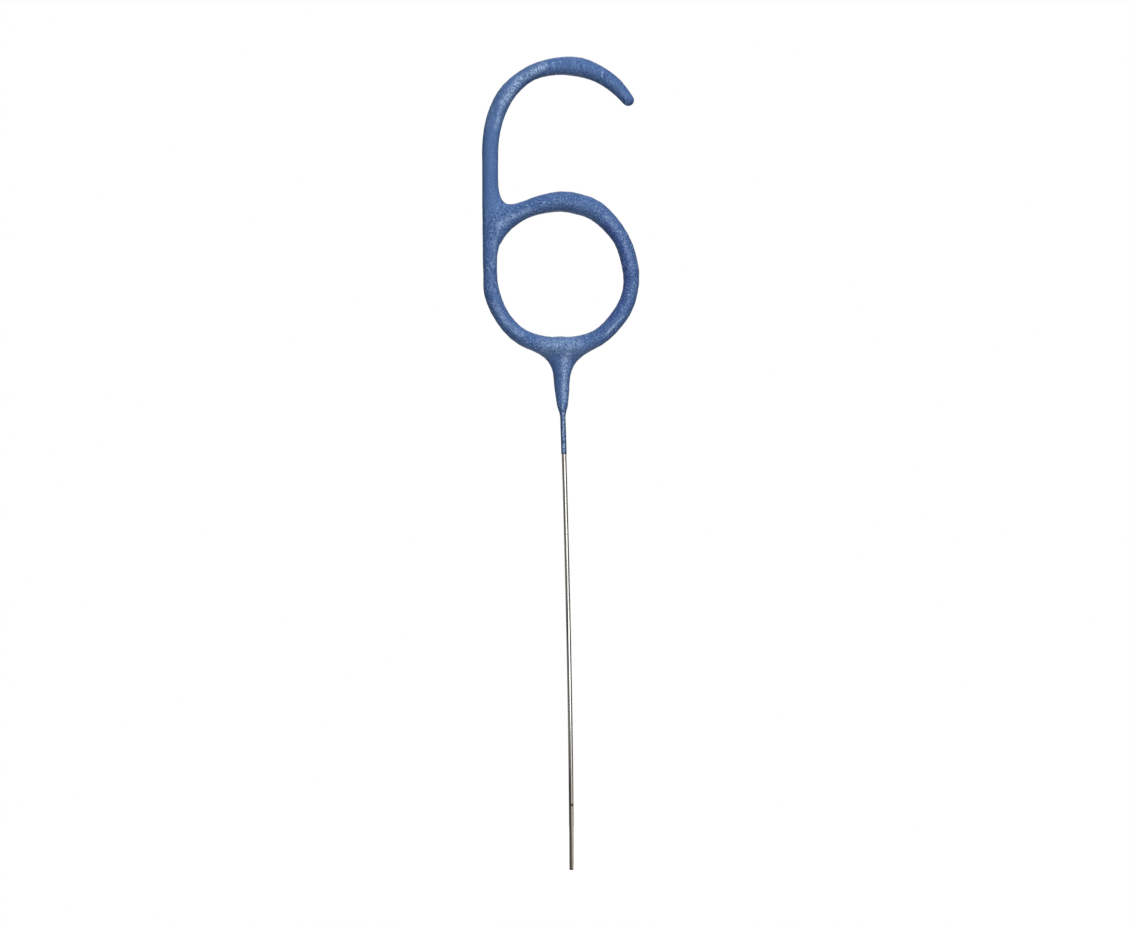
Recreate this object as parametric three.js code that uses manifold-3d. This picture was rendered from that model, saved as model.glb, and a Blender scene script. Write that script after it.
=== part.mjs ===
// A number sparkler candle: a wire figure 6, dipped in sparkler composition and a thin colour coat, on a
// long bare steel stem. Millimetres, +Z up. The origin is the centre of the stem's lower end, the end that
// is pushed into the cake. The figure stands in a plane parallel to XZ and faces -Y.
import * as THREE from "three";
import { mergeVertices } from "three/addons/utils/BufferGeometryUtils.js";
import Module from "manifold-3d";

// The two wires.
const wireDiameter = 1.05;
const stemLength = 115.8; // from the stem's lower end up to the wire at the bottom of the bowl
const stemLean = 2.45; // how far the top of the stem leans towards -X
const stemBow = 1.65; // power of height that the lean grows with: above 1 the stem bows
const stemLap = 0.1; // how far the stem runs up past the middle of the bowl's wire
const stemChamfer = 0.12; // broken edge round the stem's cut lower end
const lapGap = 0.05; // between the two wires where the stem is lapped behind the bowl
const lapPatch = 0.9; // width of the patch at the lap that holds no mix
const endGap = 0.25; // between the back's wire and the end of the same wire that comes round the bowl

// The figure's centre line. The hook's centre is one hookRadius to the right of the back.
const bowlRadius = 15.95;
const hookRadius = 16.02;
const backHeight = 29.9; // from the centre of the bowl up to the centre of the hook

// The dipped layers.
const strokeWidth = 3.8; // a plain stretch of coated stroke, across
const neckWidth = 3.62; // the coated neck under the bowl, across
const neckLength = 15.5; // from the middle of the bowl's wire down to where the neck thins out
const mixEdge = 0.12; // wall of the composition where it runs out on the stem
const filmLength = 8.2; // bare wire under the neck that only the colour coat covers
const filmThickness = 0.05; // the colour coat on that wire
const coatThickness = 0.15; // the colour coat on the composition
const fitGap = 0.03; // clearance between one layer and the next
const crotchBlend = 7; // how widely the mix fills the crotch, the corner between the bowl and the back
const insideBlend = 3.4; // how widely it fills the same corner on the bowl's inner side
const neckBlends = [5.3, 6.7]; // how widely it fills the left and the right corner under the bowl
const lapBlend = 1.5; // how widely it fills the corners above the lap
const fillDepth = 2.2; // how far in front of and behind the wires such a fill still reaches

// How finely the round forms are divided.
const coatSides = 16; // a multiple of four
const capRings = 3;
const figureWireSides = 8;
const stemWireSides = 12;
const ringStep = 2.1; // along a stroke
const jointStep = 1.1; // along the neck, and from a joint out to its plain strokes
const stemStep = 5; // along the bare stem
const rayStep = 0.1; // how finely the skin is searched for
const rayTolerance = 0.001; // and how closely it is then found

// The joints: how far from its middle the strokes that meet there are plain again, and how far under the
// level the two corners under the bowl open, in degrees.
const crotchReach = 6.2;
const footReach = 6.5;
const footCornerDrop = 35;

// Each row is a station on the figure's centre line, in order from the tip of the hook to the wire's other
// end. The hook and bowl rows hold an angle in degrees round their centre, the reach as a share of the
// radius, and the stroke's width as a share of strokeWidth. The back rows hold a height as a share of
// backHeight, and a width.
const hookShares = [
  [30, 1.046, 0.68],
  [44, 1.027, 0.87],
  [60, 1.012, 0.98],
  [76, 1.006, 1.12],
  [95, 0.993, 1.02],
  [116, 0.996, 0.89],
  [138, 0.987, 0.98],
  [158, 0.972, 1.02],
  [180, 0.989, 0.96],
];
const backShares = [
  [0.78, 0.92],
  [0.52, 0.93],
  [0.27, 0.9],
];
const bowlShares = [
  [180, 0.976, 0.81],
  [196, 0.989, 0.93],
  [218, 1.012, 0.9],
  [240, 1.033, 0.95],
  [270, 1.02, 1.13],
  [300, 1.034, 0.97],
  [330, 1.01, 0.96],
  [345, 0.998, 0.89],
  [360, 0.979, 0.95],
  [390, 0.967, 0.98],
  [420, 0.993, 1.18],
  [435, 0.991, 1.23],
  [450, 0.996, 1.18],
  [480, 1.006, 0.99],
];
const footRow = 4; // the bowl's row over the stem
const topRow = 12; // its row at the top
const bowlEndShares = [1.056, 0.83]; // reach and width at the wire's end, beside the back

// The neck: depth below the bowl's wire as a share of neckLength, and width as a share of neckWidth.
const neckShares = [
  [0, 1],
  [0.35, 0.98],
  [0.5, 0.95],
  [0.67, 0.85],
  [0.84, 0.66],
];

const wireRadius = wireDiameter / 2;
const boreRadius = wireRadius + fitGap;
const filmRadius = boreRadius + filmThickness;
const strokeRadius = strokeWidth / 2;
const neckRadius = neckWidth / 2;
const figureY = -(wireDiameter + lapGap); // the stem stands at Y 0, behind the figure's wire
const sideways = new THREE.Vector3(0, 1, 0);

// The bowl stands with its lowest station on the stem's top, and the back rises from its left side.
const [, footReachShare] = bowlShares[footRow];
const [, leftReachShare] = bowlShares[0];
const bowlCentre = new THREE.Vector3(-stemLean, figureY, stemLength + bowlRadius * footReachShare);
const backX = bowlCentre.x - bowlRadius * leftReachShare;

const wasm = await Module();
wasm.setup();

function last(list) {
  return list[list.length - 1];
}

// The station at an angle, in degrees, and a distance from a centre, in the figure's plane.
function around(centre, degrees, distance, radius) {
  const angle = THREE.MathUtils.degToRad(degrees);
  const spoke = new THREE.Vector3(Math.cos(angle), 0, Math.sin(angle));
  return { centre: centre.clone().addScaledVector(spoke, distance), radius };
}

// The figure's stations, each with its place and the coat's radius there.
function figureStations() {
  const bowl = bowlShares.map(([degrees, reachShare, widthShare]) =>
    around(bowlCentre, degrees, bowlRadius * reachShare, strokeRadius * widthShare),
  );
  const back = backShares.map(([heightShare, widthShare]) => ({
    centre: new THREE.Vector3(backX, figureY, bowlCentre.z + backHeight * heightShare),
    radius: strokeRadius * widthShare,
  }));
  const hookCentre = new THREE.Vector3(backX + hookRadius, figureY, bowlCentre.z + backHeight);
  const hook = hookShares.map(([degrees, reachShare, widthShare]) =>
    around(hookCentre, degrees, hookRadius * reachShare, strokeRadius * widthShare),
  );
  // The wire ends just short of the back's own wire.
  const [endReachShare, endWidthShare] = bowlEndShares;
  const endReach = bowlRadius * endReachShare;
  const endAngle = Math.acos((backX + wireDiameter + endGap - bowlCentre.x) / endReach);
  const endDegrees = 360 + THREE.MathUtils.radToDeg(endAngle);
  const end = around(bowlCentre, endDegrees, endReach, strokeRadius * endWidthShare);
  return [...hook, ...back, ...bowl, end];
}

// A point of the stem's centre line, which stands upright at its lower end and bows towards -X.
function stemPoint(height) {
  const climbed = Math.max(height, 0) / stemLength;
  return new THREE.Vector3(-stemLean * climbed ** stemBow, 0, height);
}

function stemTangent(height) {
  const climbed = Math.max(height, 0) / stemLength;
  const slope = (-stemLean * stemBow * climbed ** (stemBow - 1)) / stemLength;
  return new THREE.Vector3(slope, 0, 1).normalize();
}

// The stations of the stem's coat, from its top down to the edge of the film on the bare wire.
function stemStations() {
  const neck = neckShares.map(([depthShare, widthShare]) => ({
    centre: stemPoint(stemLength - neckLength * depthShare),
    radius: neckRadius * widthShare,
  }));
  const top = { centre: stemPoint(stemLength + stemLap), radius: neckRadius };
  const neckEnd = { centre: stemPoint(stemLength - neckLength), radius: filmRadius };
  const filmEnd = { centre: stemPoint(stemLength - neckLength - filmLength), radius: filmRadius };
  return [top, ...neck, neckEnd, filmEnd];
}

// A smooth run of rings through the stations, about one step apart, nowhere thinner than the film.
function strand(stations, step) {
  const line = new THREE.CatmullRomCurve3(stations.map(({ centre }) => centre));
  const girth = new THREE.SplineCurve(stations.map(({ radius }, i) => new THREE.Vector2(i, radius)));
  const ringAt = (station) => {
    const t = station / (stations.length - 1);
    const radius = Math.max(girth.getPoint(t).y, filmRadius);
    return { station, centre: line.getPoint(t), tangent: line.getTangent(t), radius };
  };
  const rings = [ringAt(0)];
  for (let i = 1; i < stations.length; i++) {
    const parts = Math.ceil(stations[i].centre.distanceTo(stations[i - 1].centre) / step);
    for (let part = 1; part <= parts; part++) rings.push(ringAt(i - 1 + part / parts));
  }
  return rings;
}

// The figure's one wire is taken as three strands, so that only the back and the bowl's end, which meet in
// the crotch, are blended with each other.
const figureRings = strand(figureStations(), ringStep);
const stemCoatRings = strand(stemStations(), jointStep);
const bowlStation = hookShares.length + backShares.length;
const turnStation = bowlStation + 1;
const footStation = bowlStation + footRow;
const topStation = bowlStation + topRow;
const backStrand = figureRings.filter(({ station }) => station <= turnStation);
const footStrand = figureRings.filter(({ station }) => station >= turnStation && station <= topStation);
const endStrand = figureRings.filter(({ station }) => station >= topStation);

const segment = new THREE.Vector3();
const offset = new THREE.Vector3();

// How far a point is outside one strand's round coat; negative inside it.
function clearOf(rings, point) {
  let least = Infinity;
  for (let i = 1; i < rings.length; i++) {
    const from = rings[i - 1];
    const to = rings[i];
    segment.subVectors(to.centre, from.centre);
    offset.subVectors(point, from.centre);
    const share = THREE.MathUtils.clamp(offset.dot(segment) / segment.lengthSq(), 0, 1);
    const distance = offset.addScaledVector(segment, -share).length();
    least = Math.min(least, distance - THREE.MathUtils.lerp(from.radius, to.radius, share));
  }
  return least;
}

// The smaller of two distances, rounded off where they are alike, as a wet mix rounds off a corner.
function blended(a, b, width, fullness) {
  const likeness = Math.max(width - Math.abs(a - b), 0) / width;
  return Math.min(a, b) - (fullness * likeness * likeness * width) / 4;
}

// A fill lies between the wires: it thins out from their middle plane towards the front and back.
function fullnessAt(fromMiddle) {
  return Math.max(0, 1 - (fromMiddle / fillDepth) ** 2);
}

// How widely the mix fills the crotch: more outside the bowl's ring than inside it.
function backBlend(point) {
  const fromBowl = Math.hypot(point.x - bowlCentre.x, point.z - bowlCentre.z);
  const outsideBowl = THREE.MathUtils.clamp((fromBowl - bowlRadius) / strokeRadius, 0, 1);
  return THREE.MathUtils.lerp(insideBlend, crotchBlend, outsideBowl);
}

// How widely it fills the corners round the stem: less above the lap, and under it more on the right.
function stemBlend(point) {
  const rightOfStem = THREE.MathUtils.clamp((point.x + stemLean + neckRadius) / neckWidth, 0, 1);
  const underLap = THREE.MathUtils.clamp((stemLength + fillDepth - point.z) / fillDepth, 0, 1);
  const [leftBlend, rightBlend] = neckBlends;
  return THREE.MathUtils.lerp(lapBlend, THREE.MathUtils.lerp(leftBlend, rightBlend, rightOfStem), underLap);
}

// How far a point is outside the whole coat; negative inside it.
function skinDistance(point) {
  const rightOfBack = THREE.MathUtils.clamp((point.x - backX) / strokeRadius, 0, 1);
  const crotchFill = rightOfBack * fullnessAt(point.y - figureY);
  const crotch = blended(clearOf(backStrand, point), clearOf(endStrand, point), backBlend(point), crotchFill);
  const figure = Math.min(crotch, clearOf(footStrand, point));
  const neckFill = fullnessAt(point.y - figureY / 2);
  return blended(figure, clearOf(stemCoatRings, point), stemBlend(point), neckFill);
}

// A ray runs from inside the candle to its skin. This is the point where it meets the skin that lies the
// given depth under the outside. A ray with no direction stays where it starts.
function skinPoint({ from, direction }, depth) {
  if (!direction) return from;
  const inside = (distance) => skinDistance(from.clone().addScaledVector(direction, distance)) < -depth;
  let far = rayStep;
  while (inside(far)) far += rayStep;
  let near = far - rayStep;
  while (far - near > rayTolerance) {
    const middle = (near + far) / 2;
    if (inside(middle)) near = middle;
    else far = middle;
  }
  return from.clone().addScaledVector(direction, near);
}

// The directions round a ring, all leaning by a tilt, in radians, towards the ring's tangent.
function spokes(ring, sides, tilt = 0) {
  const across = new THREE.Vector3().crossVectors(sideways, ring.tangent);
  return Array.from({ length: sides }, (_, side) => {
    const angle = (2 * Math.PI * side) / sides;
    const spoke = across.clone().multiplyScalar(Math.cos(angle) * Math.cos(tilt));
    spoke.addScaledVector(sideways, Math.sin(angle) * Math.cos(tilt));
    return spoke.addScaledVector(ring.tangent, Math.sin(tilt));
  });
}

function solidOf(positions, faces) {
  const mesh = { numProp: 3, vertProperties: new Float32Array(positions), triVerts: new Uint32Array(faces) };
  return new wasm.Manifold(new wasm.Mesh(mesh));
}

// A closed solid from strips of rings of points. A strip is drawn in to one point at a free end, and where
// strips meet their rings hold the same points.
function closed(strips) {
  const corners = [];
  for (const { rings, startPoint, endPoint } of strips) {
    rings[0].forEach((_, side) => {
      const next = (side + 1) % rings[0].length;
      if (startPoint) corners.push(startPoint, rings[0][next], rings[0][side]);
      if (endPoint) corners.push(endPoint, last(rings)[side], last(rings)[next]);
      for (let row = 1; row < rings.length; row++) {
        const [before, after] = rings.slice(row - 1, row + 1);
        corners.push(before[side], before[next], after[next]);
        corners.push(before[side], after[next], after[side]);
      }
    });
  }
  const points = [...new Set(corners)];
  const indexOf = new Map(points.map((point, i) => [point, i]));
  return solidOf(points.flatMap(({ x, y, z }) => [x, y, z]), corners.map((point) => indexOf.get(point)));
}

// A round wire through its rings, with flat ends.
function wire(rings, sides) {
  const sections = rings.map((ring) =>
    spokes(ring, sides).map((spoke) => ring.centre.clone().addScaledVector(spoke, ring.radius)),
  );
  return closed([{ rings: sections, startPoint: rings[0].centre, endPoint: last(rings).centre }]);
}

// The same rings at another radius, the end ones moved outwards by a length.
function resized(rings, radius, longer = 0) {
  const moved = rings.map(({ centre, tangent }) => ({ centre: centre.clone(), tangent, radius }));
  moved[0].centre.addScaledVector(moved[0].tangent, -longer);
  last(moved).centre.addScaledVector(last(moved).tangent, longer);
  return moved;
}

function stemRings() {
  const top = stemLength + stemLap;
  const parts = Math.ceil(top / stemStep);
  return Array.from({ length: parts + 1 }, (_, i) => {
    const height = (top * i) / parts;
    return { centre: stemPoint(height), tangent: stemTangent(height), radius: wireRadius };
  });
}

// The stem's lower end is cut square, with its edge broken.
function stemWireSolid() {
  const [foot, ...rest] = stemRings();
  const cutFace = { ...foot, radius: wireRadius - stemChamfer };
  const shoulder = { ...foot, centre: stemPoint(stemChamfer) };
  return wire([cutFace, shoulder, ...rest], stemWireSides);
}

// Where the stem is lapped onto the figure's wire, metal meets metal and no mix gets in between.
function lapSolid() {
  const geometry = new THREE.CylinderGeometry(lapPatch / 2, lapPatch / 2, -figureY, stemWireSides);
  geometry.translate(-stemLean, figureY / 2, stemLength);
  geometry.deleteAttribute("normal");
  geometry.deleteAttribute("uv");
  const merged = mergeVertices(geometry);
  return solidOf(merged.getAttribute("position").array, merged.getIndex().array);
}

// A plain ring of rays.
function roundRing(ring, tilt = 0) {
  return spokes(ring, coatSides, tilt).map((direction) => ({ from: ring.centre, direction }));
}

// Half a circle of rays round a joint, bulging in one direction of the figure's plane. It runs from the
// front to the back and leaves out both ends.
function halfCircle(centre, direction, quarter) {
  return Array.from({ length: 2 * quarter - 1 }, (_, i) => {
    const angle = (Math.PI / 2) * ((i + 1) / quarter - 1);
    const outwards = direction.clone().multiplyScalar(Math.cos(angle));
    return { from: centre, direction: outwards.addScaledVector(sideways, Math.sin(angle)) };
  });
}

// A joint of three strokes has a half circle of rays between each two of them, and all three share their
// front and back rays. A stroke starts or ends with the ring that its two half circles make: first the one
// on the side that its plain rings start from, then the other.
function joint(centre, directions) {
  const quarter = coatSides / 4;
  const back = { from: centre, direction: sideways };
  const front = { from: centre, direction: sideways.clone().negate() };
  const halves = Object.entries(directions).map(([name, direction]) => [
    name,
    halfCircle(centre, direction, quarter),
  ]);
  const half = Object.fromEntries(halves);
  const ring = (first, second) => [
    ...half[first].slice(quarter - 1),
    back,
    ...half[second].toReversed(),
    front,
    ...half[first].slice(0, quarter - 1),
  ];
  return { centre, ring };
}

// The rings between two others, turning and moving evenly from one to the next.
function between(start, end) {
  const parts = Math.ceil(start[0].from.distanceTo(end[0].from) / jointStep);
  return Array.from({ length: parts - 1 }, (_, i) => {
    const share = (i + 1) / parts;
    return start.map((ray, side) => {
      const from = ray.from.clone().lerp(end[side].from, share);
      const target = skinPoint(ray, 0).lerp(skinPoint(end[side], 0), share);
      return { from, direction: target.sub(from).normalize() };
    });
  });
}

function reversed(rings) {
  return rings.map((ring) => ({ ...ring, tangent: ring.tangent.clone().negate() })).toReversed();
}

// The middle of the crotch is halfway between the back and the bowl's end, at the first place where they
// stand a stroke's width apart, as far up the one as along the other.
function crotchJoint() {
  const wireEnd = last(endStrand).centre;
  const onBack = (ring) => new THREE.Vector3(backX, figureY, wireEnd.z + ring.centre.distanceTo(wireEnd));
  const ring = endStrand.findLast((each) => each.centre.distanceTo(onBack(each)) >= strokeWidth);
  const centre = onBack(ring).lerp(ring.centre, 1 / 2);
  const notch = new THREE.Vector3(0, 0, 1).sub(ring.tangent).normalize();
  const inside = bowlCentre.clone().sub(centre).normalize();
  return joint(centre, { notch, left: new THREE.Vector3(-1, 0, 0), inside });
}

// The middle of the foot is in the lap of the two wires. The neck's corners open to its left and right.
function footJoint() {
  const centre = stemPoint(stemLength).setY(figureY / 2);
  const drop = THREE.MathUtils.degToRad(footCornerDrop);
  const up = new THREE.Vector3(0, 0, 1);
  const right = new THREE.Vector3(Math.cos(drop), 0, -Math.sin(drop));
  const left = new THREE.Vector3(-right.x, 0, right.z);
  return joint(centre, { up, left, right });
}

// The ring of the stem's coat at a height.
function stemCoatRing(height) {
  const below = stemCoatRings.findIndex(({ centre }) => centre.z <= height);
  const [upper, lower] = stemCoatRings.slice(below - 1, below + 1);
  const share = (upper.centre.z - height) / (upper.centre.z - lower.centre.z);
  const radius = THREE.MathUtils.lerp(upper.radius, lower.radius, share);
  return { centre: stemPoint(height), tangent: stemTangent(height).negate(), radius };
}

// Each stroke is a list of rings of rays, from one joint to the other or to a free end.
const crotch = crotchJoint();
const foot = footJoint();
const plainRings = figureRings.filter(
  ({ centre }) =>
    centre.distanceTo(crotch.centre) >= crotchReach && centre.distanceTo(foot.centre) >= footReach,
);

function strokeBetween(start, rings, end) {
  const plain = rings.map((ring) => roundRing(ring));
  return { rings: [start, ...between(start, plain[0]), ...plain, ...between(last(plain), end), end] };
}

function leftStroke() {
  const rings = plainRings.filter(
    ({ station, centre }) => station < footStation && centre.z < crotch.centre.z,
  );
  return strokeBetween(crotch.ring("left", "inside"), rings, foot.ring("left", "up"));
}

function bowlStroke() {
  const rings = reversed(plainRings.filter(({ station }) => station > footStation));
  return strokeBetween(crotch.ring("inside", "notch"), rings, foot.ring("up", "right"));
}

// The hook, from the crotch to its round tip.
function hookStroke() {
  const rings = reversed(
    plainRings.filter(({ station, centre }) => station < bowlStation && centre.z > crotch.centre.z),
  );
  const tip = last(rings);
  const start = crotch.ring("notch", "left");
  const plain = rings.map((ring) => roundRing(ring));
  for (let cap = 1; cap < capRings; cap++) {
    const tilt = (Math.PI / 2) * (cap / capRings);
    plain.push(roundRing(tip, tilt));
  }
  return {
    rings: [start, ...between(start, plain[0]), ...plain],
    endRay: { from: tip.centre, direction: tip.tangent },
  };
}

// The neck, which ends flat at a height.
function neckStroke(lowerEnd) {
  const rings = stemCoatRings.filter(
    ({ centre }) => centre.distanceTo(foot.centre) >= footReach && centre.z > lowerEnd + jointStep / 2,
  );
  const end = stemCoatRing(lowerEnd);
  const start = foot.ring("left", "right");
  const plain = [...rings, end].map((ring) => roundRing(ring));
  return { rings: [start, ...between(start, plain[0]), ...plain], endRay: { from: end.centre } };
}

const figureStrokes = [hookStroke(), leftStroke(), bowlStroke()];

// Everything that is dipped, its skin the given depth under the outside, ending flat at a height.
function dipped(depth, lowerEnd) {
  const found = new Map();
  const pointOf = (ray) => {
    if (!found.has(ray)) found.set(ray, skinPoint(ray, depth));
    return found.get(ray);
  };
  const strips = [...figureStrokes, neckStroke(lowerEnd)].map(({ rings, endRay }) => ({
    rings: rings.map((ring) => ring.map(pointOf)),
    endPoint: endRay && pointOf(endRay),
  }));
  return closed(strips);
}

// The height at which the composition's wall round the stem has thinned out to its edge.
function mixEndHeight() {
  const edgeRadius = boreRadius + mixEdge + fitGap + coatThickness;
  const below = stemCoatRings.findIndex(({ radius }) => radius <= edgeRadius);
  const [upper, lower] = stemCoatRings.slice(below - 1, below + 1);
  const share = (upper.radius - edgeRadius) / (upper.radius - lower.radius);
  return THREE.MathUtils.lerp(upper.centre.z, lower.centre.z, share);
}

function named(name, solid, material) {
  const { vertProperties, triVerts } = solid.getMesh();
  const geometry = new THREE.BufferGeometry();
  geometry.setAttribute("position", new THREE.BufferAttribute(vertProperties, 3));
  geometry.setIndex(new THREE.BufferAttribute(triVerts, 1));
  geometry.computeVertexNormals();
  const mesh = new THREE.Mesh(geometry, material);
  mesh.name = name;
  return mesh;
}

const drawnSteel = new THREE.MeshStandardMaterial({ color: 0x9a9488, roughness: 0.35, metalness: 1 });
const curedMix = new THREE.MeshStandardMaterial({ color: 0x6b6a68, roughness: 0.95, metalness: 0.1 });
const bluePaint = new THREE.MeshStandardMaterial({ color: 0x4b69a5, roughness: 0.6, metalness: 0 });

const figureBore = wire(resized(figureRings, boreRadius, fitGap), figureWireSides);
const stemBore = wire(resized(stemRings(), boreRadius, fitGap), stemWireSides);
const filmEndHeight = last(stemCoatRings).centre.z;
const mixEnd = mixEndHeight();

const candle = new THREE.Group();
candle.add(named("figure_wire", wire(resized(figureRings, wireRadius), figureWireSides), drawnSteel));
candle.add(named("stem_wire", stemWireSolid(), drawnSteel));

const composition = dipped(coatThickness + fitGap, mixEnd);
const bores = figureBore.add(stemBore).add(lapSolid());
candle.add(named("sparkler_composition", composition.subtract(bores), curedMix));

const coatOutside = dipped(0, filmEndHeight);
const coatInside = dipped(coatThickness, mixEnd - fitGap);
candle.add(named("colour_coat", coatOutside.subtract(coatInside).subtract(stemBore), bluePaint));

export default candle;
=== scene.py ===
"""Looks for the number sparkler candle: a wire figure 6 in a blue dipped coat, on a long bare steel stem.

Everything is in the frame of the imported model: +Z up, the figure faces -Y, and the origin is the centre of
the stem's lower end. Lengths are in metres unless a name says otherwise, and colours are 0 to 255 sRGB.
"""

import math
from collections import namedtuple

import bmesh
import bpy
import numpy as np
from mathutils import Color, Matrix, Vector, noise


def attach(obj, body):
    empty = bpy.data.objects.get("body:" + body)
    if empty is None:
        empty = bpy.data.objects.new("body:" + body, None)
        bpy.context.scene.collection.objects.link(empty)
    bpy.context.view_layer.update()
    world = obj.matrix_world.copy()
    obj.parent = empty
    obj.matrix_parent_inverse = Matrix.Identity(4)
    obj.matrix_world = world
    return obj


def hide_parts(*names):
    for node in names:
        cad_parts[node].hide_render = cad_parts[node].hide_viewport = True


MM = 0.001
FULL_CHANNEL = 255
FULL_TURN = 360

# A way along the figure, seen from the front: its points as (x, z), how far to each side of it the marking
# reaches before it has faded out, and how strong it is on the way itself.
Way = namedtuple("Way", "points_mm reach_mm strength")

# A light or a bright card: where it is, what it faces, its width and height, and its power or glow.
Lamp = namedtuple("Lamp", "place target size strength")

# A dark card round the candle: its name, the bearings of its two side edges low down and high up, in degrees
# from the camera's side towards the right, and its glow.
Flag = namedtuple("Flag", "name foot_bearings top_bearings glow")

# The camera. The photograph is square on to the figure, and pixels are those of its 1134 x 927 frame.
FRAME_WIDTH_PX = 1134
FRAME_HEIGHT_PX = 927
STEM_FOOT_PX = (571.6, 870.0)
METRES_PER_PX = 0.2214 * MM
CAMERA_DISTANCE = 1.0
CAMERA_CLIP_START = 0.01
CAMERA_CLIP_END = 50
CAMERA_TILT = math.radians(90)
SENSOR_WIDTH_MM = 36.0

# How the CAD's facets become fine surfaces: which corners and triangles are joined, which edges stay sharp or
# end the coat's outside, and which are halved because they are long.
MERGE_DISTANCE = 0.0001 * MM
COAT_JOIN_ANGLE = math.radians(40)
WIRE_JOIN_ANGLE = math.radians(12)
QUAD_SKEW_ANGLE = math.radians(60)
WIRE_EDGE_ANGLE = math.radians(40)
FILM_EDGE_ANGLE = math.radians(78)
END_FACE_DEPTH = 0.08 * MM
LONG_EDGE = 1.3 * MM
FITTING_PASSES = 3
SMOOTHING_LEVELS = 2

# The coat's unevenness: the size of its sags, lumps and grains, and how far they stand out. The shifts keep
# the three patterns apart. Up to the film's top there is only a share of it, and from NECK_FULL up all of it.
SAG_SIZE = 7.0 * MM
SAG_HEIGHT = 0.06 * MM
LUMP_SIZE = 2.4 * MM
LUMP_HEIGHT = 0.028 * MM
LUMP_SHIFT = Vector((7, 0, 0))
GRAIN_SIZE = 0.62 * MM
GRAIN_HEIGHT = 0.022 * MM
GRAIN_SHIFT = Vector((0, 7, 0))
FILM_TOP = 101.5 * MM
NECK_FULL = 107.0 * MM
FILM_UNEVENNESS_SHARE = 0.3

# The blue dip's colours.
DARK_CLOUD = (76, 108, 162)
PALE_CLOUD = (88, 120, 174)
MATT_BLUE = (90, 124, 179)
# The deeper blue of the painted shade inside the bowl.
PAINTED_SHADE_BLUE = (66, 87, 153)
PALE_FLECK = (150, 182, 232)
DARK_FLECK = (46, 68, 114)
FILM_BLUE = (36, 58, 102)
# The pale blue of the painted highlights on the ridges.
PAINTED_HIGHLIGHT_BLUE = (180, 208, 246)

# Its patterns. A scale under 1 along an axis draws a pattern out there. The flecks come in patches, and are
# brushed out upright on the hook. The specks break up the painted highlights on the ridges.
FLECK_SIZE = 0.34 * MM
CLOUDS = {"size": 4.5 * MM, "detail": 3}
FLECKS = {"size": FLECK_SIZE, "detail": 1, "roughness": 0.8}
BRUSHED_FLECKS = {"size": FLECK_SIZE, "detail": 2, "roughness": 0.7, "scale": (1, 1, 0.3)}
PATCHES = {"size": 3 * MM, "detail": 2}
SPECKS = {"size": 0.3 * MM, "detail": 1, "roughness": 0.8, "scale": (1, 1, 0.7)}

# The values of each pattern between which its effect goes from least to full.
CLOUD_RANGE = (0.35, 0.65)
PALE_FLECK_RANGE = (0.55, 0.7)
DARK_FLECK_RANGE = (0.46, 0.29)
PATCH_RANGE = (0.35, 0.6)
SPECK_RANGE = (0.46, 0.57)

# The share of the flecks that is left between their patches, and of the painted highlights between their
# specks.
BETWEEN_PATCHES_SHARE = 0.35
BETWEEN_SPECKS_SHARE = 0.07

# The heights between which the flecks turn to brushed ones, and between which the film's darker blue sets in,
# with the share of that blue in the end.
BRUSHED_FROM = 158 * MM
BRUSHED_FULL = 165 * MM
FILM_DARK_FROM = 103 * MM
FILM_DARK_FULL = 100 * MM
FILM_DARK_SHARE = 0.75

# The coat's sheen and relief.
DIP_SPECULAR = 0.2
DARK_CLOUD_ROUGHNESS = 0.46
PALE_CLOUD_ROUGHNESS = 0.36
MATT_ADDED_ROUGHNESS = 0.3
FLECK_RELIEF = 0.045 * MM

# Painted highlights: where the coat is painted pale in speckled streaks, standing in for the sheen on its
# ridges.
PAINTED_HIGHLIGHT_WAYS = (
    # The hook, from its crown down its inner left side.
    Way(((-6.0, 177.8), (-11.4, 174.9), (-15.2, 169.6)), reach_mm=1.2, strength=1.15),
    Way(((-15.2, 169.6), (-16.8, 164.0)), reach_mm=0.8, strength=0.7),
    # The bowl, from the crotch down its left side.
    Way(((-9.4, 146.0), (-13.6, 144.4), (-16.0, 142.6)), reach_mm=0.9, strength=0.7),
    Way(((-16.0, 142.6), (-16.9, 138.6), (-17.2, 133.0)), reach_mm=0.45, strength=0.45),
    Way(((-17.1, 125.2), (-14.6, 121.2), (-11.1, 118.4)), reach_mm=0.9, strength=0.5),
    # The bowl's foot and the neck.
    Way(((-5.5, 116.2), (1.0, 116.2)), reach_mm=2.2, strength=0.68),
    Way(((-1.6, 104.0), (-1.5, 111.2)), reach_mm=0.75, strength=1.0),
    Way(((-1.5, 110.5), (-1.2, 113.8), (0.4, 116.6)), reach_mm=1.4, strength=0.75),
    # The bowl's right side, lower and upper, and its top.
    Way(((7.3, 118.2), (11.4, 122.4)), reach_mm=0.35, strength=0.9),
    Way(((7.8, 144.3), (11.35, 140.0), (13.3, 133.5)), reach_mm=0.8, strength=0.35),
    Way(((-3.7, 147.5), (1.6, 147.2)), reach_mm=0.9, strength=0.15),
    # The hook's outer left side, faintly.
    Way(((-8.0, 178.9), (-13.0, 176.6), (-17.2, 171.6), (-19.0, 165.0)), reach_mm=1.6, strength=0.22),
    # The film on the wire.
    Way(((-1.93, 103.0), (-1.7, 92.5)), reach_mm=0.4, strength=1.15),
)

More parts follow.
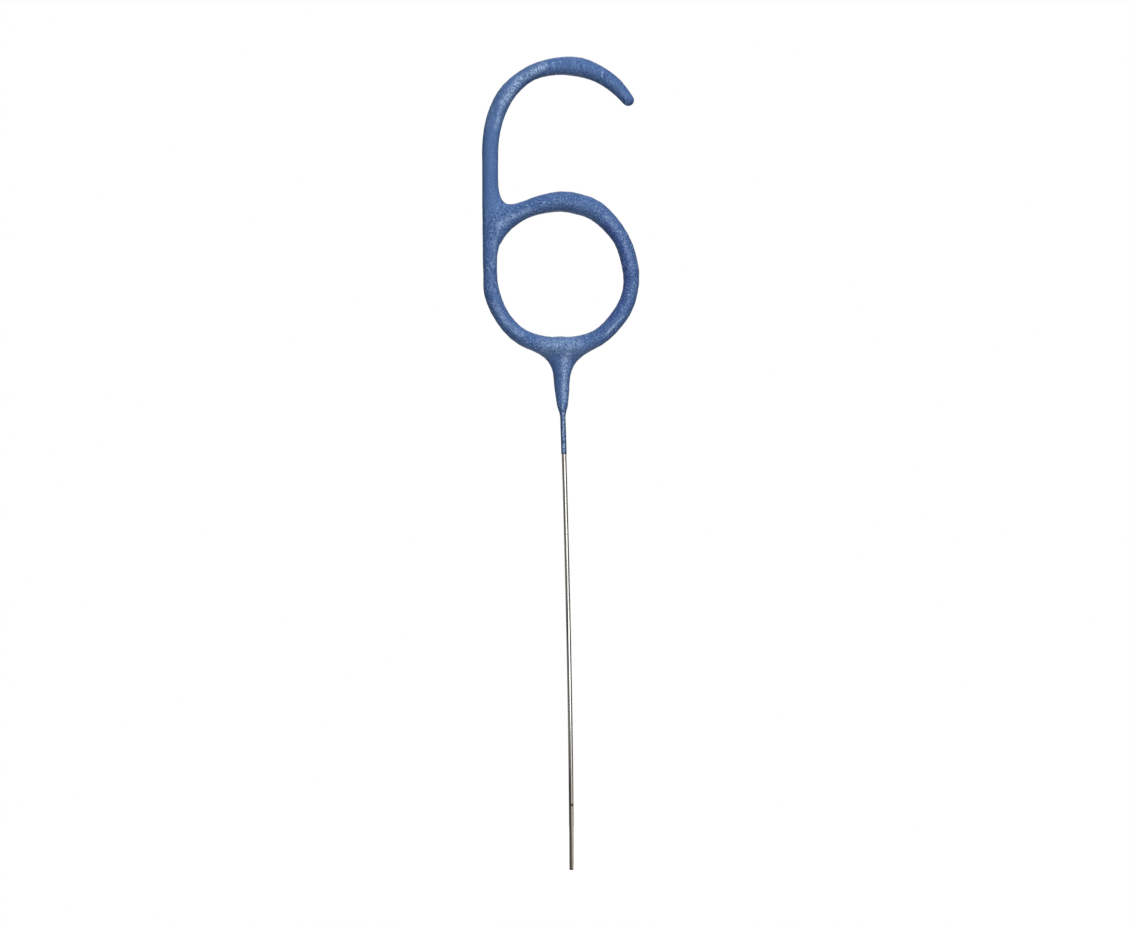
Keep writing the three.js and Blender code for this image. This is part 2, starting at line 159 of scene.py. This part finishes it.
# Where it has fewest flecks: up the straight back to the hook's crown, and on the neck's left side.
CALM_WAYS = (
    Way(((-18.2, 147.0), (-18.2, 165.0), (-15.8, 172.5), (-9.0, 177.0)), reach_mm=3.0, strength=0.7),
    Way(((-4.0, 113.5), (-2.9, 105.5)), reach_mm=1.1, strength=0.8),
)

# Where it is matt and a little paler: the straight back.
MATT_WAYS = (
    Way(((-18.2, 147.0), (-18.2, 164.0)), reach_mm=6.0, strength=1.0),
)

# Painted shade: a deeper blue along the inner right side of the bowl.
PAINTED_SHADE_WAYS = (
    Way(
        ((7.8, 142.5), (10.2, 139.4), (11.9, 135.0), (12.2, 131.0), (11.2, 126.5), (8.6, 122.6)),
        reach_mm=1.9,
        strength=0.85,
    ),
)

# The steel's colours. The bright steel, the dull steel and the painted shade on the dull part's left side
# each have a darker and a brighter one, by their drawn lines.
BRIGHT_STEEL = ((172, 170, 165), (208, 206, 202))
DULL_STEEL = ((150, 145, 135), (184, 179, 168))
PAINTED_SHADE_STEEL = ((54, 50, 44), (82, 77, 69))
SCORE_COLOUR = (84, 80, 74)
SCORCH_COLOUR = (150, 132, 118)
MARK_AND_END_COLOUR = (66, 60, 54)

# Its patterns, and the values of them between which their effect goes from least to full.
DRAWN_LINES = {"size": 0.09 * MM, "scale": (1, 1, 0.003)}
SCORES = {"size": 0.3 * MM, "scale": (1, 1, 0.006)}
DULL_EDGE_WAVES = {"size": 4 * MM}
LINE_RANGE = (0.3, 0.7)
SCORE_RANGE = (0.42, 0.33)
SCORE_SHARE = 0.7

# The bare stem from below: the cut end, darker on its left side, the dark mark and its darkest core, the
# dull lower part, and the faint scorching under the film. The dull part's upper edge is wavy, and it has
# painted shade on its left side as far as the stem's middle, fading out to the right of it. The slope is the
# stem's lean to the left.
DARK_END_HEIGHT = 1.2 * MM
MARK_PLACE = (0.14 * MM, -0.52 * MM, 14.45 * MM)
MARK_RADIUS = 0.42 * MM
MARK_CORE_SHARE = 0.5
DULL_FROM = 31 * MM
DULL_FULL = 19 * MM
WAVE_HEIGHT = 2 * MM
PAINTED_SHADE_FADE = 0.45 * MM
STEM_SLOPE = 0.016
SCORCH_FROM = 87 * MM
SCORCH_FULL = 91 * MM
SCORCH_SHARE = 0.2

# The steel's sheen and relief.
BRIGHT_ROUGHNESS = 0.24
DULL_ROUGHNESS = 0.34
LINE_RELIEF = 0.0015 * MM

# The cured mix under the coat.
GRITTY_GREY = ((84, 83, 82), (138, 137, 135))
GRIT = {"size": 0.35 * MM, "detail": 4}
GRIT_RANGE = (0.35, 0.65)
GRIT_RELIEF = 0.06 * MM
MIX_ROUGHNESS = 0.9

# The room: a white world that gives only a little light, and a pale disc of floor.
WHITE = (1, 1, 1, 1)
AMBIENT = 0.09
FLOOR_RADIUS = 0.12
FLOOR_SIDES = 96
FLOOR_SHADE = 0.8
FLOOR_GLOW = 0.85
FLOOR_ROUGHNESS = 0.9

# The lights, and the cards that gloss and metal see in their stead. Each faces a point on the candle.
FIGURE_AIM = (-0.002, 0.0, 0.14)
STEM_AIM = (0, 0, 0.04)
KEY = Lamp(place=(0.2, -0.8, 0.75), target=FIGURE_AIM, size=(1.4, 0.4), strength=11.0)
BACK_LIGHT = Lamp(place=(-0.1, 0.95, 0.3), target=FIGURE_AIM, size=(0.8, 0.4), strength=9)
REFLECTOR = Lamp(place=(0.47, -0.78, 0.32), target=FIGURE_AIM, size=(0.24, 0.24), strength=6.0)
WIRE_CARD = Lamp(place=(0.22, -0.61, 0.0), target=STEM_AIM, size=(0.58, 0.25), strength=3.3)

# The flags, on a circle round the candle. Their edges run upright, then slant from the foot's bearings to the
# top's, and run upright again. They meet at a seam on each side. A gap is left in front, and one at the back.
FLAG_REACH = 0.1
FLAG_LOWEST = -0.05
SLANT_FOOT = -0.009
SLANT_TOP = 0.09
FLAG_HIGHEST = 0.3
FLAG_PANELS = 24
LEFT_SEAM = -105
RIGHT_SEAM = 115
LEFT_BACK = (196, LEFT_SEAM + FULL_TURN)
RIGHT_BACK = (RIGHT_SEAM, 168)
RIGHT_FRONT = (56, RIGHT_SEAM)
BACK_GLOW = 0.38
FLAGS = (
    Flag("left_flag", foot_bearings=(16, LEFT_SEAM), top_bearings=(-20, LEFT_SEAM), glow=0.22),
    Flag("right_flag", foot_bearings=RIGHT_FRONT, top_bearings=RIGHT_FRONT, glow=0.03),
    Flag("right_back_flag", foot_bearings=RIGHT_BACK, top_bearings=RIGHT_BACK, glow=BACK_GLOW),
    Flag("left_back_flag", foot_bearings=LEFT_BACK, top_bearings=LEFT_BACK, glow=BACK_GLOW),
)

# The places of the Mix node's sockets. It has a pair and a result for numbers, and others for colours.
MIX_SHARE_SOCKET = 0
MIX_NUMBER_SOCKETS = (2, 3)
MIX_NUMBER_RESULT = 0
MIX_COLOUR_SOCKETS = (6, 7)
MIX_COLOUR_RESULT = 2

# Mesh helpers


def bmesh_of(node):
    """The CAD node's mesh with its corners joined."""
    bm = bmesh.new()
    bm.from_mesh(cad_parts[node].data)
    bmesh.ops.remove_doubles(bm, verts=bm.verts, dist=MERGE_DISTANCE)
    bm.normal_update()
    return bm


def mesh_from(bm, name):
    """A new mesh of the bmesh, which is freed."""
    mesh = bpy.data.meshes.new(name)
    bm.to_mesh(mesh)
    bm.free()
    return mesh


def join_facets(bm, angle):
    """Joins pairs of triangles that meet at less than the angle."""
    bmesh.ops.join_triangles(
        bm,
        faces=bm.faces,
        angle_face_threshold=angle,
        angle_shape_threshold=QUAD_SKEW_ANGLE,
    )


def subdivided(mesh, levels):
    """A copy of the mesh after Catmull-Clark subdivision."""
    scratch = bpy.data.objects.new("scratch", mesh)
    bpy.context.scene.collection.objects.link(scratch)
    modifier = scratch.modifiers.new("smooth", "SUBSURF")
    modifier.levels = levels
    modifier.render_levels = levels
    graph = bpy.context.evaluated_depsgraph_get()
    result = bpy.data.meshes.new_from_object(scratch.evaluated_get(graph))
    bpy.data.objects.remove(scratch)
    return result


def coordinates(mesh):
    """The places of the mesh's vertices, one row each."""
    places = np.zeros(len(mesh.vertices) * 3)
    mesh.vertices.foreach_get("co", places)
    return places.reshape(-1, 3)


def set_coordinates(mesh, places):
    """Moves the mesh's vertices to the given places."""
    mesh.vertices.foreach_set("co", np.asarray(places, np.float32).ravel())
    mesh.update()


def smoothed(mesh):
    """Subdivides the mesh so that the smooth surface still passes through the CAD's own points."""
    wanted = coordinates(mesh)
    cage = wanted.copy()
    for _ in range(FITTING_PASSES):
        set_coordinates(mesh, cage)
        reached = coordinates(subdivided(mesh, levels=1))[: len(cage)]
        cage += wanted - reached
    set_coordinates(mesh, cage)
    return subdivided(mesh, SMOOTHING_LEVELS)


def reached_without_crossing(start, angle):
    """The faces that are reached from one face without crossing an edge sharper than the angle."""
    found = {start}
    waiting = [start]
    while waiting:
        for edge in waiting.pop().edges:
            if edge.calc_face_angle(0) > angle:
                continue
            for face in edge.link_faces:
                if face not in found:
                    found.add(face)
                    waiting.append(face)
    return found


def new_piece(name, mesh, material):
    """A smooth-shaded object of the mesh in one material."""
    piece = bpy.data.objects.new(name, mesh)
    bpy.context.scene.collection.objects.link(piece)
    mesh.materials.clear()
    mesh.materials.append(material)
    mesh.shade_smooth()
    return piece


# The coat


def outer_faces(bm):
    """The faces of the coat's outside, which end at the film's lower edge."""
    top = max(bm.faces, key=lambda face: face.calc_center_median().z)
    return reached_without_crossing(top, FILM_EDGE_ANGLE)


def coat_skin():
    """The outside of the coat as a smooth fine mesh, open at the film's lower edge."""
    bm = bmesh_of("colour_coat")
    outside = outer_faces(bm)
    bmesh.ops.delete(bm, geom=[face for face in bm.faces if face not in outside], context="FACES")
    join_facets(bm, COAT_JOIN_ANGLE)
    long_edges = [edge for edge in bm.edges if edge.calc_length() > LONG_EDGE]
    bmesh.ops.subdivide_edges(bm, edges=long_edges, cuts=1, use_grid_fill=True)
    return smoothed(mesh_from(bm, "coat_skin"))


def unevenness(point):
    """How far the coat stands out from its smooth form at a point."""
    place = Vector(point)
    sag = noise.noise(place / SAG_SIZE) * SAG_HEIGHT
    lump = noise.noise(place / LUMP_SIZE + LUMP_SHIFT) * LUMP_HEIGHT
    grain = noise.noise(place / GRAIN_SIZE + GRAIN_SHIFT) * GRAIN_HEIGHT
    neck_share = min(max((place.z - FILM_TOP) / (NECK_FULL - FILM_TOP), 0), 1)
    return (sag + lump + grain) * (FILM_UNEVENNESS_SHARE + (1 - FILM_UNEVENNESS_SHARE) * neck_share)


def roughened(mesh):
    """The mesh with each vertex moved along its normal by the coat's unevenness."""
    places = coordinates(mesh)
    normals = np.zeros(len(mesh.vertices) * 3)
    mesh.vertex_normals.foreach_get("vector", normals)
    heights = np.array([unevenness(place) for place in places])
    set_coordinates(mesh, places + normals.reshape(-1, 3) * heights[:, None])
    return mesh


def inner_skin():
    """The inside of the coat as the CAD has it, open at the film's lower edge."""
    bm = bmesh_of("colour_coat")
    end_top = min(vertex.co.z for vertex in bm.verts) + END_FACE_DEPTH
    end_face = {face for face in bm.faces if all(vertex.co.z < end_top for vertex in face.verts)}
    bmesh.ops.delete(bm, geom=list(outer_faces(bm) | end_face), context="FACES")
    return mesh_from(bm, "coat_inside")


def coat_mesh():
    """Outer and inner skin, joined round the wire at the film's lower edge."""
    bm = bmesh.new()
    bm.from_mesh(roughened(coat_skin()))
    bm.from_mesh(inner_skin())
    rims = [edge for edge in bm.edges if edge.is_boundary]
    bmesh.ops.bridge_loops(bm, edges=rims)
    bmesh.ops.recalc_face_normals(bm, faces=bm.faces)
    return mesh_from(bm, "dipped_coat")


# The bare wire


def wire_mesh(node, name):
    """A wire of the CAD, made round. Its cut ends keep their edges."""
    bm = bmesh_of(node)
    join_facets(bm, WIRE_JOIN_ANGLE)
    crease = bm.edges.layers.float.new("crease_edge")
    for edge in bm.edges:
        if edge.calc_face_angle(0) > WIRE_EDGE_ANGLE:
            edge[crease] = 1.0
    return smoothed(mesh_from(bm, name))


# Materials


def linear(red, green, blue):
    """A colour in Blender's linear values, with an alpha of 1."""
    colour = Color((red / FULL_CHANNEL, green / FULL_CHANNEL, blue / FULL_CHANNEL))
    return (*colour.from_srgb_to_scene_linear(), 1.0)


class Shader:
    """A new material with a Principled shader, and short calls that add its nodes."""

    def __init__(self, name):
        self.material = bpy.data.materials.new(name)
        self.material.use_nodes = True
        self.tree = self.material.node_tree
        self.surface = self.tree.nodes["Principled BSDF"]
        self.place = self.tree.nodes.new("ShaderNodeTexCoord").outputs["Object"]

    def link(self, output, socket):
        """Links one node's output to another's input."""
        self.tree.links.new(output, socket)

    def feed(self, socket, value):
        """Links another node's output to the socket, or sets the socket to a plain value."""
        if isinstance(value, bpy.types.NodeSocket):
            self.link(value, socket)
        else:
            socket.default_value = value

    def scaled(self, x, y, z):
        """The object's own coordinates, scaled along each axis."""
        node = self.tree.nodes.new("ShaderNodeMapping")
        node.inputs["Scale"].default_value = (x, y, z)
        self.link(self.place, node.inputs["Vector"])
        return node.outputs["Vector"]

    def noise(self, size, detail=2.0, roughness=0.5, scale=None):
        """A pattern of about 0 to 1. A scale under 1 along an axis draws it out there."""
        place = self.scaled(*scale) if scale else self.place
        node = self.tree.nodes.new("ShaderNodeTexNoise")
        node.inputs["Scale"].default_value = 1 / size
        node.inputs["Detail"].default_value = detail
        node.inputs["Roughness"].default_value = roughness
        self.link(place, node.inputs["Vector"])
        return node.outputs["Fac"]

    def spread(self, value, low, high, to_low=0.0, to_high=1.0):
        """Runs from to_low to to_high as the value goes from low to high, and stays level past both."""
        node = self.tree.nodes.new("ShaderNodeMapRange")
        node.inputs["From Min"].default_value = low
        node.inputs["From Max"].default_value = high
        node.inputs["To Min"].default_value = to_low
        node.inputs["To Max"].default_value = to_high
        self.link(value, node.inputs["Value"])
        return node.outputs["Result"]

    def math(self, operation, *values):
        """A Math node. Each value is a number or a socket."""
        node = self.tree.nodes.new("ShaderNodeMath")
        node.operation = operation
        for socket, value in zip(node.inputs, values):
            self.feed(socket, value)
        return node.outputs["Value"]

    def vector_math(self, operation, *values):
        """A Vector Math node. Each value is a tuple or a socket."""
        node = self.tree.nodes.new("ShaderNodeVectorMath")
        node.operation = operation
        for socket, value in zip(node.inputs, values):
            self.feed(socket, value)
        return node.outputs["Value" if operation in ("DOT_PRODUCT", "LENGTH", "DISTANCE") else "Vector"]

    def between(self, share, first, second):
        """A number between two others, by the share of the second."""
        node = self.tree.nodes.new("ShaderNodeMix")
        self.link(share, node.inputs[MIX_SHARE_SOCKET])
        for index, value in zip(MIX_NUMBER_SOCKETS, (first, second)):
            self.link(value, node.inputs[index])
        return node.outputs[MIX_NUMBER_RESULT]

    def blend(self, share, first, second):
        """A colour between two others, by the share of the second. Each is a colour or a socket."""
        node = self.tree.nodes.new("ShaderNodeMix")
        node.data_type = "RGBA"
        self.link(share, node.inputs[MIX_SHARE_SOCKET])
        for index, value in zip(MIX_COLOUR_SOCKETS, (first, second)):
            self.feed(node.inputs[index], linear(*value) if isinstance(value, tuple) else value)
        return node.outputs[MIX_COLOUR_RESULT]

    def height(self):
        """The object's own Z."""
        node = self.tree.nodes.new("ShaderNodeSeparateXYZ")
        self.link(self.place, node.inputs["Vector"])
        return node.outputs["Z"]

    def bump(self, height, distance):
        """A normal for a relief of the given height pattern and depth."""
        node = self.tree.nodes.new("ShaderNodeBump")
        node.inputs["Distance"].default_value = distance
        self.link(height, node.inputs["Height"])
        return node.outputs["Normal"]

    def streak(self, start_mm, end_mm, reach_mm):
        """1 on a straight line, as seen from the front, and 0 from the reach away from it."""
        start, end = (Vector((x, 0, z)) * MM for x, z in (start_mm, end_mm))
        run = end - start
        from_start = self.vector_math("SUBTRACT", self.scaled(1, 0, 1), tuple(start))
        along_run = self.vector_math("DOT_PRODUCT", from_start, tuple(run / run.length_squared))
        run_share = self.spread(along_run, 0, 1)
        offset = self.vector_math("MULTIPLY_ADD", tuple(-run), run_share, from_start)
        return self.spread(self.vector_math("LENGTH", offset), reach_mm * MM, 0)

    def along(self, ways):
        """The most that any of the ways marks a point."""
        most = None
        for way in ways:
            for start_mm, end_mm in zip(way.points_mm, way.points_mm[1:]):
                streak = self.streak(start_mm, end_mm, way.reach_mm)
                streak = self.math("MULTIPLY", streak, way.strength)
                most = self.math("MAXIMUM", most, streak) if most else streak
        return most


def blue_dip():
    """Satin blue dip: cloudy and flecked, with painted highlights on its ridges, and matt on its straight
    back.
    """
    shader = Shader("blue_dip")
    surface = shader.surface

    clouds = shader.spread(shader.noise(**CLOUDS), *CLOUD_RANGE)
    matt = shader.along(MATT_WAYS)
    colour = shader.blend(clouds, DARK_CLOUD, PALE_CLOUD)
    colour = shader.blend(matt, colour, MATT_BLUE)
    # Painted shade along the inner right side of the bowl.
    colour = shader.blend(shader.along(PAINTED_SHADE_WAYS), colour, PAINTED_SHADE_BLUE)

    on_hook = shader.spread(shader.height(), BRUSHED_FROM, BRUSHED_FULL)
    flecks = shader.between(on_hook, shader.noise(**FLECKS), shader.noise(**BRUSHED_FLECKS))
    busy = shader.spread(shader.noise(**PATCHES), *PATCH_RANGE, to_low=BETWEEN_PATCHES_SHARE)
    busy = shader.math("MULTIPLY", busy, shader.math("SUBTRACT", 1.0, shader.along(CALM_WAYS)))
    pale = shader.math("MULTIPLY", shader.spread(flecks, *PALE_FLECK_RANGE), busy)
    dark = shader.math("MULTIPLY", shader.spread(flecks, *DARK_FLECK_RANGE), busy)
    colour = shader.blend(pale, colour, PALE_FLECK)
    colour = shader.blend(dark, colour, DARK_FLECK)

    on_film = shader.spread(shader.height(), FILM_DARK_FROM, FILM_DARK_FULL, to_high=FILM_DARK_SHARE)
    colour = shader.blend(on_film, colour, FILM_BLUE)

    # Painted highlights: pale speckled streaks along the ridges stand in for their sheen and glints.
    specks = shader.spread(shader.noise(**SPECKS), *SPECK_RANGE, to_low=BETWEEN_SPECKS_SHARE)
    painted_highlight = shader.math("MULTIPLY", specks, shader.along(PAINTED_HIGHLIGHT_WAYS))
    colour = shader.blend(painted_highlight, colour, PAINTED_HIGHLIGHT_BLUE)

    roughness = shader.spread(clouds, 0, 1, DARK_CLOUD_ROUGHNESS, PALE_CLOUD_ROUGHNESS)
    roughness = shader.math("ADD", roughness, shader.math("MULTIPLY", matt, MATT_ADDED_ROUGHNESS))

    surface.inputs["Specular IOR Level"].default_value = DIP_SPECULAR
    shader.link(colour, surface.inputs["Base Color"])
    shader.link(roughness, surface.inputs["Roughness"])
    shader.link(shader.bump(flecks, FLECK_RELIEF), surface.inputs["Normal"])
    return shader.material


def drawn_steel():
    """Bright drawn wire with long lines. Its lower part is dull, with painted shade on its left side, a dark
    mark and a darker end.
    """
    shader = Shader("drawn_steel")
    surface = shader.surface

    lines = shader.noise(**DRAWN_LINES)
    shade = shader.spread(lines, *LINE_RANGE)
    bright = shader.blend(shade, *BRIGHT_STEEL)

    # Painted shade: the dull part is darkened on its left side, as far as the stem's middle.
    from_axis = shader.vector_math("DOT_PRODUCT", shader.place, (1.0, 0.0, STEM_SLOPE))
    right_side = shader.spread(from_axis, 0, PAINTED_SHADE_FADE)
    dull_and_painted_shade = shader.blend(right_side, shader.blend(shade, *PAINTED_SHADE_STEEL), shader.blend(shade, *DULL_STEEL))
    waves = shader.spread(shader.noise(**DULL_EDGE_WAVES), 0, 1, -WAVE_HEIGHT, WAVE_HEIGHT)
    low = shader.spread(shader.math("ADD", shader.height(), waves), DULL_FROM, DULL_FULL)
    colour = shader.blend(low, bright, dull_and_painted_shade)

    scores = shader.spread(shader.noise(**SCORES), *SCORE_RANGE, to_high=SCORE_SHARE)
    colour = shader.blend(scores, colour, SCORE_COLOUR)
    scorch = shader.spread(shader.height(), SCORCH_FROM, SCORCH_FULL, to_high=SCORCH_SHARE)
    colour = shader.blend(scorch, colour, SCORCH_COLOUR)

    from_mark = shader.vector_math("DISTANCE", shader.place, MARK_PLACE)
    mark = shader.spread(from_mark, MARK_RADIUS, MARK_RADIUS * MARK_CORE_SHARE)
    # The last stretch to the cut end is darker on the stem's left side.
    darker_end = shader.spread(shader.height(), DARK_END_HEIGHT, 0)
    darker_end = shader.math("SUBTRACT", darker_end, right_side)
    colour = shader.blend(shader.math("MAXIMUM", mark, darker_end), colour, MARK_AND_END_COLOUR)

    surface.inputs["Metallic"].default_value = 1.0
    shader.link(colour, surface.inputs["Base Color"])
    shader.link(shader.spread(low, 0, 1, BRIGHT_ROUGHNESS, DULL_ROUGHNESS), surface.inputs["Roughness"])
    shader.link(shader.bump(lines, LINE_RELIEF), surface.inputs["Normal"])
    return shader.material


def cured_mix():
    """Matt grey grit."""
    shader = Shader("cured_mix")
    surface = shader.surface
    grit = shader.noise(**GRIT)
    colour = shader.blend(shader.spread(grit, *GRIT_RANGE), *GRITTY_GREY)
    surface.inputs["Roughness"].default_value = MIX_ROUGHNESS
    shader.link(colour, surface.inputs["Base Color"])
    shader.link(shader.bump(grit, GRIT_RELIEF), surface.inputs["Normal"])
    return shader.material


# The studio


def white_seen(tree):
    """1 for rays from the camera and from gloss, metal and glass, and 0 for all others."""
    path = tree.nodes.new("ShaderNodeLightPath")
    seen = path.outputs["Is Camera Ray"]
    for ray in ("Is Glossy Ray", "Is Transmission Ray"):
        either = tree.nodes.new("ShaderNodeMath")
        either.operation = "MAXIMUM"
        tree.links.new(seen, either.inputs[0])
        tree.links.new(path.outputs[ray], either.inputs[1])
        seen = either.outputs["Value"]
    return seen


def white_world():
    """White to look at, and only a little light."""
    world = bpy.data.worlds.new("studio")
    world.use_nodes = True
    bpy.context.scene.world = world
    tree = world.node_tree
    background = tree.nodes["Background"]
    background.inputs["Color"].default_value = WHITE
    strength = tree.nodes.new("ShaderNodeMapRange")
    strength.inputs["To Min"].default_value = AMBIENT
    strength.inputs["To Max"].default_value = 1.0
    tree.links.new(white_seen(tree), strength.inputs["Value"])
    tree.links.new(strength.outputs["Result"], background.inputs["Strength"])


def floor():
    """A pale disc under the candle, as white as the world but for the candle's soft shadow."""
    bpy.ops.mesh.primitive_circle_add(vertices=FLOOR_SIDES, radius=FLOOR_RADIUS, fill_type="NGON")
    piece = bpy.context.object
    piece.name = "floor"
    material = bpy.data.materials.new("pale_floor")
    material.use_nodes = True
    tree = material.node_tree
    surface = tree.nodes["Principled BSDF"]
    surface.inputs["Base Color"].default_value = (FLOOR_SHADE, FLOOR_SHADE, FLOOR_SHADE, 1)
    surface.inputs["Roughness"].default_value = FLOOR_ROUGHNESS
    surface.inputs["Emission Color"].default_value = WHITE
    strength = tree.nodes.new("ShaderNodeMapRange")
    strength.inputs["To Max"].default_value = FLOOR_GLOW
    tree.links.new(white_seen(tree), strength.inputs["Value"])
    tree.links.new(strength.outputs["Result"], surface.inputs["Emission Strength"])
    piece.data.materials.append(material)


def aimed(obj, lamp):
    """Puts the object at the lamp's place, facing its target."""
    obj.location = lamp.place
    obj.rotation_mode = "QUATERNION"
    obj.rotation_quaternion = (Vector(lamp.place) - Vector(lamp.target)).to_track_quat("Z", "Y")
    bpy.context.scene.collection.objects.link(obj)


def soft_light(name, lamp):
    """A softbox. Gloss and metal do not see it: they see the cards."""
    light = bpy.data.lights.new(name, "AREA")
    light.shape = "RECTANGLE"
    light.size, light.size_y = lamp.size
    light.energy = lamp.strength
    obj = bpy.data.objects.new(name, light)
    obj.visible_glossy = False
    aimed(obj, lamp)


def glossy_only(name, mesh, glow):
    """A studio card that only gloss and metal see: dark, or a reflector where it glows more than 1."""
    material = bpy.data.materials.new(name)
    material.use_nodes = True
    tree = material.node_tree
    emission = tree.nodes.new("ShaderNodeEmission")
    emission.inputs["Strength"].default_value = glow
    tree.links.new(emission.outputs["Emission"], tree.nodes["Material Output"].inputs["Surface"])
    mesh.materials.append(material)
    obj = bpy.data.objects.new(name, mesh)
    obj.visible_camera = False
    obj.visible_diffuse = False
    obj.visible_shadow = False
    return obj


def bright_card(name, lamp):
    """A flat rectangular reflector."""
    mesh = bpy.data.meshes.new(name)
    x, y = (side / 2 for side in lamp.size)
    corners = [(-x, -y, 0), (x, -y, 0), (x, y, 0), (-x, y, 0)]
    mesh.from_pydata(corners, [], [(0, 1, 2, 3)])
    obj = glossy_only(name, mesh, lamp.strength)
    aimed(obj, lamp)


def dark_card(flag):
    """A curved flag round the candle."""
    rows = (
        (FLAG_LOWEST, flag.foot_bearings),
        (SLANT_FOOT, flag.foot_bearings),
        (SLANT_TOP, flag.top_bearings),
        (FLAG_HIGHEST, flag.top_bearings),
    )
    row_length = FLAG_PANELS + 1
    points = []
    for z, (start, end) in rows:
        for i in range(row_length):
            bearing = math.radians(start + (end - start) * i / FLAG_PANELS)
            points.append((FLAG_REACH * math.sin(bearing), -FLAG_REACH * math.cos(bearing), z))
    faces = []
    for row in range(len(rows) - 1):
        for i in range(FLAG_PANELS):
            corner = row * row_length + i
            above = corner + row_length
            faces.append((corner, corner + 1, above + 1, above))
    mesh = bpy.data.meshes.new(flag.name)
    mesh.from_pydata(points, [], faces)
    obj = glossy_only(flag.name, mesh, flag.glow)
    bpy.context.scene.collection.objects.link(obj)


def photo_camera():
    """A long lens square on to the figure, with the stem's foot where the photograph has it."""
    camera = bpy.data.cameras.new("photo_camera")
    camera.sensor_width = SENSOR_WIDTH_MM
    camera.lens = SENSOR_WIDTH_MM * CAMERA_DISTANCE / (FRAME_WIDTH_PX * METRES_PER_PX)
    camera.clip_start = CAMERA_CLIP_START
    camera.clip_end = CAMERA_CLIP_END
    obj = bpy.data.objects.new("photo_camera", camera)
    foot_across, foot_down = STEM_FOOT_PX
    x = (FRAME_WIDTH_PX / 2 - foot_across) * METRES_PER_PX
    z = (foot_down - FRAME_HEIGHT_PX / 2) * METRES_PER_PX
    obj.location = (x, -CAMERA_DISTANCE, z)
    obj.rotation_euler = (CAMERA_TILT, 0, 0)
    bpy.context.scene.collection.objects.link(obj)
    bpy.context.scene.camera = obj


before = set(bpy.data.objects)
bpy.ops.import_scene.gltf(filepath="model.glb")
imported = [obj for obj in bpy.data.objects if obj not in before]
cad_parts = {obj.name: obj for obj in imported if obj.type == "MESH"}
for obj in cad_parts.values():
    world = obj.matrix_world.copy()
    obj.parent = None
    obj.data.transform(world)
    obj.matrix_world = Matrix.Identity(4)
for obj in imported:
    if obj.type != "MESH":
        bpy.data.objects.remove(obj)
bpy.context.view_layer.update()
bpy.context.scene.view_settings.view_transform = "Standard"

steel = drawn_steel()
coat = new_piece("dipped_coat", coat_mesh(), blue_dip())
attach(coat, "root")
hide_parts("colour_coat")

stem = new_piece("drawn_stem", wire_mesh("stem_wire", "drawn_stem"), steel)
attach(stem, "root")
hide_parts("stem_wire")

for node, material in (("figure_wire", steel), ("sparkler_composition", cured_mix())):
    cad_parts[node].data.materials.clear()
    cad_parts[node].data.materials.append(material)

photo_camera()
white_world()
floor()
soft_light("key", KEY)
soft_light("back_light", BACK_LIGHT)
bright_card("reflector", REFLECTOR)
for flag in FLAGS:
    dark_card(flag)
bright_card("wire_card", WIRE_CARD)
